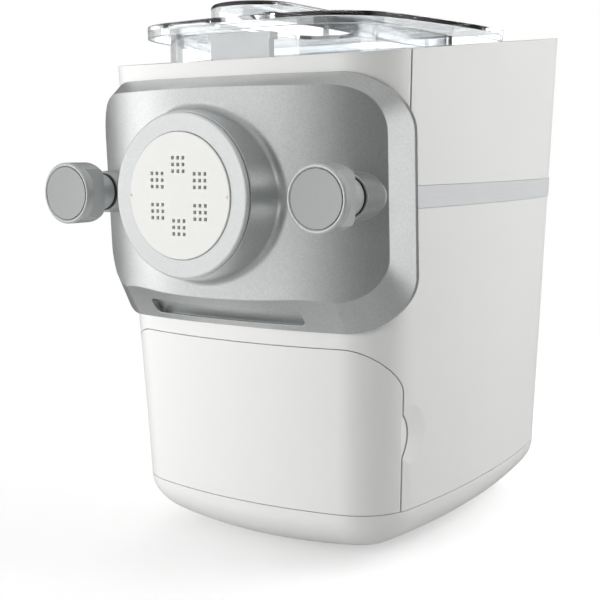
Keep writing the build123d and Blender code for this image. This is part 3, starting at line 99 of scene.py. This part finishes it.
path = put(tree, "ShaderNodeLightPath")
indirect = put(tree, "ShaderNodeMix", {"data_type": "FLOAT"},
               {0: (path, "Is Glossy Ray"), 2: (ambient, "Result"), 3: (mirrored, "Value")})
refracted = put(tree, "ShaderNodeMix", {"data_type": "FLOAT"},
                {0: (path, "Is Transmission Ray"), 2: (indirect, 0), 3: (through, "Result")})
level = put(tree, "ShaderNodeMix", {"data_type": "FLOAT"},
            {0: (path, "Is Camera Ray"), 2: (refracted, 0), 3: 1.0})
cloth = put(tree, "ShaderNodeBackground", {}, {"Color": linear("FFFFFF"), "Strength": (level, 0)})
put(tree, "ShaderNodeOutputWorld", {}, {"Surface": (cloth, "Background")})

# The paper is white to the eye, but greyer to the light that bounces off it, and its far
# part glows up to full white, so that no horizon shows and the shadow near the feet stays.
# Distances are in metres from the middle of the machine.
paper_half = 4.0
paper_glow = 0.36
glow_starts, glow_full = 0.2, 0.9
sweep = bpy.data.materials.new("white paper sweep")
tree = empty_tree(sweep)
path = put(tree, "ShaderNodeLightPath")
seen = put(tree, "ShaderNodeMath", {"operation": "MAXIMUM"},
           {0: (path, "Is Camera Ray"), 1: (path, "Is Transmission Ray")})
shade = put(tree, "ShaderNodeMix", {"data_type": "RGBA"},
            {0: (seen, "Value"), 6: linear("DCDCDC"), 7: linear("F4F4F4")})
paper = put(tree, "ShaderNodeBsdfDiffuse", {}, {"Color": (shade, 2)})
where = put(tree, "ShaderNodeTexCoord")
away = put(tree, "ShaderNodeVectorMath", {"operation": "LENGTH"}, {0: (where, "Object")})
far = put(tree, "ShaderNodeMapRange", {"interpolation_type": "SMOOTHSTEP"}, {
    "Value": (away, "Value"), "From Min": glow_starts, "From Max": glow_full, "To Min": 0.0, "To Max": 1.0})
lift = put(tree, "ShaderNodeMath", {"operation": "MULTIPLY"}, {0: (seen, "Value"), 1: paper_glow})
glow = put(tree, "ShaderNodeEmission", {}, {"Color": linear("FFFFFF"), "Strength": (lift, "Value")})
near = put(tree, "ShaderNodeAddShader", {}, {0: (paper, "BSDF"), 1: (glow, "Emission")})
white = put(tree, "ShaderNodeEmission", {}, {"Color": linear("FFFFFF"), "Strength": 1.0})
fade = put(tree, "ShaderNodeMath", {"operation": "MULTIPLY"}, {0: (seen, "Value"), 1: (far, "Result")})
both = put(tree, "ShaderNodeMixShader", {}, {0: (fade, "Value"), 1: (near, "Shader"), 2: (white, "Emission")})
gone = put(tree, "ShaderNodeBsdfTransparent")
shown = put(tree, "ShaderNodeMixShader", {},
            {0: (path, "Is Glossy Ray"), 1: (both, "Shader"), 2: (gone, "BSDF")})
put(tree, "ShaderNodeOutputMaterial", {}, {"Surface": (shown, "Shader")})

corners = [(x * paper_half, y * paper_half, 0) for x, y in ((-1, -1), (1, -1), (1, 1), (-1, 1))]
floor_mesh = bpy.data.meshes.new("floor")
floor_mesh.from_pydata(corners, [], [(0, 1, 2, 3)])
floor_mesh.materials.append(sweep)
floor = bpy.data.objects.new("floor", floor_mesh)
scene.collection.objects.link(floor)

aim = Vector((0, 0, 0.17))


def soft_box(name, turn, rise, reach, width, height, power):
    """Rectangular area lamp turned round the machine by degrees from straight in front, facing it."""
    lamp = bpy.data.lights.new(name, "AREA")
    lamp.shape = "RECTANGLE"
    lamp.size, lamp.size_y = width, height
    lamp.energy = power
    holder = bpy.data.objects.new(name, lamp)
    holder.visible_glossy = False
    place = Vector((sin(radians(turn)) * reach, -cos(radians(turn)) * reach, rise))
    holder.location = place
    holder.rotation_euler = (aim - place).to_track_quat("-Z", "Y").to_euler()
    scene.collection.objects.link(holder)


soft_box("soft_box_left", turn=-36, rise=0.36, reach=2.0, width=2.6, height=0.7, power=35)
soft_box("soft_box_right", turn=128, rise=0.55, reach=1.0, width=0.9, height=0.9, power=8.2)
soft_box("soft_box_back", turn=-150, rise=0.9, reach=2.0, width=1.6, height=1.4, power=12)
soft_box("soft_box_top", turn=0, rise=1.9, reach=0.1, width=1.4, height=1.4, power=6)


# ------------------------------------------------------------------ white housing
# The wrap, the front fascia, the drawer's door and the base tray are injection moulded ABS,
# polished to a soft gloss, and held from inside, so nothing but their seams shows.
def moulded(name, colour, roughness, ior=1.53, grain=0.5, depth=0.01, edge=0.4):
    """Plastic or rubber out of a polished or spark eroded mould. Grain, depth and edge are in mm."""
    drift = 60  # mm between paler and duller patches, as the melt flowed
    spread = 0.02
    made = bpy.data.materials.new(name)
    tree = empty_tree(made)
    where = put(tree, "ShaderNodeTexCoord")
    spark = put(tree, "ShaderNodeTexNoise", {},
                {"Vector": (where, "Object"), "Scale": 1000 / grain, "Detail": 2.0})
    flow = put(tree, "ShaderNodeTexNoise", {},
               {"Vector": (where, "Object"), "Scale": 1000 / drift, "Detail": 3.0})
    gloss = put(tree, "ShaderNodeMapRange", {}, {
        "Value": (flow, "Fac"), "From Min": 0.3, "From Max": 0.7,
        "To Min": roughness - spread, "To Max": roughness + spread})
    shade = linear(colour)
    darker = tuple(c * 0.985 for c in shade[:3]) + (1.0,)
    tint = put(tree, "ShaderNodeMix", {"data_type": "RGBA"}, {0: (flow, "Fac"), 6: darker, 7: shade})
    corner = put(tree, "ShaderNodeBevel", {"samples": 4}, {"Radius": edge / 1000})
    skin = put(tree, "ShaderNodeBump", {}, {
        "Strength": 0.5, "Distance": depth / 1000, "Height": (spark, "Fac"), "Normal": (corner, "Normal")})
    body = put(tree, "ShaderNodeBsdfPrincipled", {}, {
        "Base Color": (tint, 2), "Roughness": (gloss, "Result"), "IOR": ior, "Normal": (skin, "Normal")})
    put(tree, "ShaderNodeOutputMaterial", {}, {"Surface": (body, "BSDF")})
    return made


def wear(material, *nodes):
    """Give CAD pieces one material."""
    for name in nodes:
        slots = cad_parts[name].data.materials
        slots.clear()
        slots.append(material)


# Its gloss is soft enough to blur the lamps, and its white is a trace warm.
white_abs = moulded("gloss ABS, white", "F3F3F1", 0.30)
wear(white_abs, "side_wrap", "front_fascia", "drawer_front", "base_pan")

# ------------------------------------------------------------------ silver band
# A strip of brushed aluminium foil on a plastic backing, pressed into a groove round the
# wrap. Its fine lines run along the strip and make it look paler and duller than lacquer.
line_length, line_pitch = 33.0, 0.25  # mm, coarser than real brushing so that it shows
band_foil = bpy.data.materials.new("brushed aluminium foil")
tree = empty_tree(band_foil)
where = put(tree, "ShaderNodeTexCoord")
along = put(tree, "ShaderNodeMapping", {}, {
    "Vector": (where, "Object"), "Scale": (1000 / line_length, 1000 / line_length, 1000 / line_pitch)})
lines = put(tree, "ShaderNodeTexNoise", {}, {"Vector": (along, "Vector"), "Scale": 1.0, "Detail": 3.0})
tone = put(tree, "ShaderNodeMix", {"data_type": "RGBA"},
           {0: (lines, "Fac"), 6: linear("DADCDD"), 7: linear("ECEEEF")})
corner = put(tree, "ShaderNodeBevel", {"samples": 4}, {"Radius": 0.0003})
skin = put(tree, "ShaderNodeBump", {}, {
    "Strength": 0.3, "Distance": 0.00002, "Height": (lines, "Fac"), "Normal": (corner, "Normal")})
body = put(tree, "ShaderNodeBsdfPrincipled", {}, {
    "Base Color": (tone, 2), "Metallic": 0.12, "Roughness": 0.35, "Normal": (skin, "Normal")})
put(tree, "ShaderNodeOutputMaterial", {}, {"Surface": (body, "BSDF")})
wear(band_foil, "band_trim")


# ------------------------------------------------------------------ front panel
# One moulding of ABS, sprayed with satin silver lacquer and pulled off forwards by hand.
# Aluminium flakes in the lacquer lie at slightly different tilts, so it sparkles a little
# and never mirrors.
def metal_finish(name, light, dark, metallic, roughness, flake=0.7, edge=0.5):
    """Metal or metallic lacquer of flakes or crystals, in mm, coarser than real so that they show."""
    cloud = 25  # mm between glossier and duller patches, as the spray fell
    spread = 0.02
    made = bpy.data.materials.new(name)
    tree = empty_tree(made)
    where = put(tree, "ShaderNodeTexCoord")
    flakes = put(tree, "ShaderNodeTexVoronoi", {}, {"Vector": (where, "Object"), "Scale": 1000 / flake})
    mist = put(tree, "ShaderNodeTexNoise", {},
               {"Vector": (where, "Object"), "Scale": 1000 / cloud, "Detail": 2.0})
    tilt = put(tree, "ShaderNodeSeparateColor", {}, {"Color": (flakes, "Color")})
    tone = put(tree, "ShaderNodeMix", {"data_type": "RGBA"},
               {0: (tilt, "Red"), 6: linear(dark), 7: linear(light)})
    gloss = put(tree, "ShaderNodeMapRange", {}, {
        "Value": (mist, "Fac"), "From Min": 0.3, "From Max": 0.7,
        "To Min": roughness - spread, "To Max": roughness + spread})
    corner = put(tree, "ShaderNodeBevel", {"samples": 4}, {"Radius": edge / 1000})
    skin = put(tree, "ShaderNodeBump", {}, {
        "Strength": 0.25, "Distance": 0.00003, "Height": (tilt, "Green"), "Normal": (corner, "Normal")})
    body = put(tree, "ShaderNodeBsdfPrincipled", {}, {
        "Base Color": (tone, 2), "Metallic": metallic, "Roughness": (gloss, "Result"),
        "Normal": (skin, "Normal")})
    put(tree, "ShaderNodeOutputMaterial", {}, {"Surface": (body, "BSDF")})
    return made


panel_lacquer = metal_finish("satin silver lacquer", "D2D4D4", "C4C6C6", 0.85, 0.32, flake=0.5, edge=0.9)
wear(panel_lacquer, "front_panel")

# ------------------------------------------------------------------ retaining ring and shaping disc
# The ring is die cast, lacquered in a paler, flatter silver, and turns on a bayonet. It holds
# the disc, which is turned from acetal: off-white, dense and slightly waxy.
ring_lacquer = metal_finish("pale silver lacquer", "DADCDC", "D2D4D4", 0.5, 0.40, flake=0.5, edge=0.6)
wear(ring_lacquer, "retaining_ring")
disc_acetal = moulded("turned acetal, off-white", "F2F2EF", 0.38, ior=1.48, grain=0.4, edge=0.2)
wear(disc_acetal, "shaping_disc")

# ------------------------------------------------------------------ clamp knobs
# Each knob is a lacquered grip with a satin grey cap pressed into its front, moulded on the
# end of a steel rod, with a rubber washer behind it. The cap is duller than the lacquer.
knob_lacquer = metal_finish("knob silver lacquer", "D4D6D6", "C8CACA", 0.45, 0.30, flake=0.5)
wear(knob_lacquer, "knob_left_grip", "knob_right_grip")
cap_grey = moulded("satin ABS, mid grey", "A9AAAA", 0.36, grain=0.35)
wear(cap_grey, "knob_left_insert", "knob_right_insert")

# ------------------------------------------------------------------ rubber pieces
# Washers, foot pads and the cord's grommet are moulded nitrile rubber, pushed into their
# seats. Near black and matt, it drinks the light.
rubber = moulded("nitrile rubber, near black", "2A2A2B", 0.62, ior=1.52, grain=0.8, depth=0.03)
wear(rubber, "knob_left_washer", "knob_right_washer", "foot_pads", "cord_grommet")

# ------------------------------------------------------------------ clear chamber and lid
# Tub and lid are injection moulded polycarbonate, glass clear with a faint grey cast, and
# polished all over, so only their edges and ribs draw lines. The lid lifts off the tub.
ripple_pitch = 45  # mm between the slow waves that the mould leaves in a clear wall
clear_pc = bpy.data.materials.new("clear polycarbonate")
tree = empty_tree(clear_pc)
where = put(tree, "ShaderNodeTexCoord")
ripple = put(tree, "ShaderNodeTexNoise", {},
             {"Vector": (where, "Object"), "Scale": 1000 / ripple_pitch, "Detail": 1.0})
corner = put(tree, "ShaderNodeBevel", {"samples": 4}, {"Radius": 0.0005})
skin = put(tree, "ShaderNodeBump", {}, {
    "Strength": 0.2, "Distance": 0.0001, "Height": (ripple, "Fac"), "Normal": (corner, "Normal")})
body = put(tree, "ShaderNodeBsdfPrincipled", {}, {
    "Base Color": linear("E2E4E5"), "Roughness": 0.03, "IOR": 1.585, "Transmission Weight": 1.0,
    "Normal": (skin, "Normal")})
put(tree, "ShaderNodeOutputMaterial", {}, {"Surface": (body, "BSDF")})
wear(clear_pc, "mixing_tub", "lid_cover")

# ------------------------------------------------------------------ deck, control panel and plates
# White ABS mouldings inside the rim and behind the front panel, clipped or screwed in place.
# Their fine spark finish is flatter than the housing's gloss.
deck_abs = moulded("satin ABS, warm white", "EFEFED", 0.42)
wear(deck_abs, "top_deck", "control_panel", "latch_bracket", "panel_plate")

# ------------------------------------------------------------------ display window and keys
# The window is smoked acrylic let into the control panel, polished and nearly black. The
# four keys are grey ABS caps that stand in the panel's holes on springs.
smoked = moulded("smoked acrylic", "101114", 0.08, ior=1.49, grain=2.0, depth=0.001)
wear(smoked, "display_window")
key_abs = moulded("satin ABS, key grey", "C6C8CA", 0.35)
wear(key_abs, "button_power", "button_less", "button_more", "button_start")

# ------------------------------------------------------------------ drawer tray, carriers and gear case
# The tray, the drawer's bay, the bulkhead and both halves of the gear case are polypropylene
# mouldings, held by screws. The plastic looks soft and greyish, with a coarse spark grain.
carrier_pp = moulded("polypropylene, light grey", "BDBEBE", 0.5, ior=1.49, grain=0.9, depth=0.03)
wear(carrier_pp, "drawer_tray", "bay_frame", "bulkhead", "gear_case", "case_cover")

# ------------------------------------------------------------------ mixer and gears
# Auger and paddle are white acetal mouldings that slide on the drive shaft. The gears are
# natural acetal, a little yellower, with the same waxy gloss.
gear_pom = moulded("acetal, natural", "E9E6DA", 0.35, ior=1.48)
wear(gear_pom, "output_gear", "idler_gear")
paddle_pom = moulded("acetal, white", "EEEEEA", 0.36, ior=1.48)
wear(paddle_pom, "auger", "mixing_paddle")

# ------------------------------------------------------------------ seals
# Moulded silicone rubber, pressed into the groove of the panel's plate and round the drive
# shaft. It is grey and matt.
seal_rubber = moulded("silicone rubber, grey", "8E8F90", 0.55, ior=1.43)
wear(seal_rubber, "shaft_seal", "panel_seal")

# ------------------------------------------------------------------ screws, shafts and sleeves
# Turned or cold headed steel with a thin zinc plating, screwed or pressed into the mouldings.
# The zinc's crystals give it a faintly mottled shine.
zinc_steel = metal_finish("zinc plated steel", "C9CACB", "B2B3B5", 1.0, 0.28, flake=1.2, edge=0.2)
wear(zinc_steel, "drawer_screws", "base_screws", "extruder_tube", "panel_screws", "drive_shaft",
     "motor_pinion", "case_screws", "output_bush", "idler_pin", "motor_shaft", "board_screws",
     "clamp_sockets", "knob_left_rod", "knob_right_rod")

# ------------------------------------------------------------------ motor and fan
# The can and its mount are drawn sheet steel, blued dark, and the rotor's core is a stack of
# the same sheet. Enamelled copper fills the stator, and the fan is a black nylon moulding.
can_steel = metal_finish("blued sheet steel", "77797C", "66686B", 1.0, 0.35, flake=1.5, edge=0.3)
wear(can_steel, "motor_mount", "motor_can", "rotor_core")
copper = metal_finish("enamelled copper", "B4703F", "8E5128", 1.0, 0.4, flake=1.0, edge=0.2)
wear(copper, "motor_stator")
fan_nylon = moulded("nylon, black", "1D1D1E", 0.48)
wear(fan_nylon, "cooling_fan")

# ------------------------------------------------------------------ circuit boards
# Glass fibre boards with their parts on them, screwed to posts. Green solder mask, a smooth
# lacquer, covers them.
board_green = moulded("solder mask, green", "1F5A35", 0.3)
wear(board_green, "control_board", "power_board")
